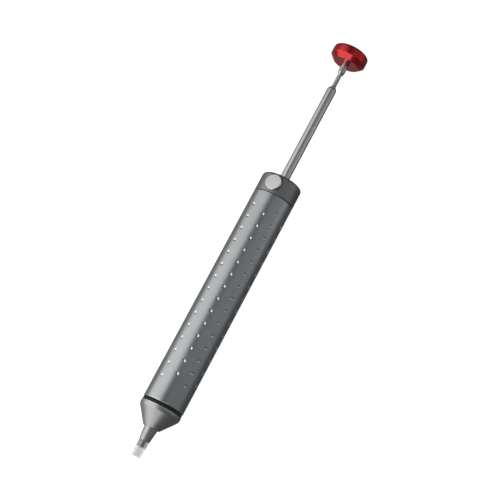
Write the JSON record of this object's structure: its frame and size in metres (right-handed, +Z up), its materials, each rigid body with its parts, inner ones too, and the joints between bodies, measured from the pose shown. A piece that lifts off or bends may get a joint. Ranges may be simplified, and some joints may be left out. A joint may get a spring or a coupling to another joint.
{
  "type": "desoldering pump",
  "caption": "Pocket desoldering pump with a dimpled metal barrel, silicone tip, sprung plunger, red thumb knob and side release button.",
  "frame": {"origin": "under the middle of the pump, on the surface that the barrel rests on", "axes": "+X from the silicone tip to the thumb knob, +Z up through the release button, +Y to the pump's left seen from the tip"},
  "size_m": [0.22, 0.02, 0.0205],
  "materials": {
    "grey_anodised": "satin",
    "satin_aluminium": "satin",
    "red_anodised": "gloss",
    "steel": "satin",
    "chrome": "polished",
    "brass": "satin",
    "rubber": "matte",
    "silicone": "translucent",
    "white_plastic": "matte"
  },
  "bodies": {
    "barrel_body": {"barrel": "grey_anodised", "end_cap": "grey_anodised", "rod_bush": "brass", "bumper_ring": "rubber", "main_spring": "steel", "button_spring": "steel"},
    "nose_seal": {"nose_o_ring": "rubber"},
    "nose": {"nose_cone": "satin_aluminium", "nozzle": "satin_aluminium", "nozzle_o_ring": "rubber"},
    "tip": {"silicone_tip": "silicone"},
    "piston_seal": {"piston_o_ring": "rubber"},
    "plunger": {"piston": "white_plastic", "piston_washer": "steel", "lock_nut": "steel", "clearing_pin": "steel", "plunger_rod": "steel", "knob": "red_anodised"},
    "button": {"release_button": "chrome", "latch_bolt": "steel"}
  },
  "joints": [
    {"name": "plunger_slide", "type": "slide", "parent": "barrel_body", "child": "piston_seal", "axis": [-1, 0, 0], "range_m": [0, 0.064], "stiffness_N_per_m": 420, "springref_m": -0.012, "deforming": ["main_spring"]},
    {"name": "plunger_spin", "type": "hinge", "parent": "piston_seal", "child": "plunger", "pos_m": [0, 0, 0.01], "axis": [1, 0, 0], "continuous": true},
    {"name": "button_press", "type": "slide", "parent": "barrel_body", "child": "button", "axis": [0, 0, -1], "range_m": [0, 0.0012], "stiffness_N_per_m": 400, "springref_m": -0.002, "deforming": ["button_spring"]},
    {"name": "nose_unscrew", "type": "slide", "parent": "barrel_body", "child": "nose_seal", "axis": [-1, 0, 0], "range_m": [0, 0.006]},
    {"name": "nose_turn", "type": "hinge", "parent": "nose_seal", "child": "nose", "pos_m": [0, 0, 0.01], "axis": [-1, 0, 0], "range_deg": [0, 2160]},
    {"name": "tip_pull", "type": "slide", "parent": "nose", "child": "tip", "axis": [-1, 0, 0], "range_m": [0, 0.004]}
  ],
  "couplings": [
    {"joint": "nose_turn", "follows": "nose_unscrew", "rad_per_m": 6283.2}
  ]
}
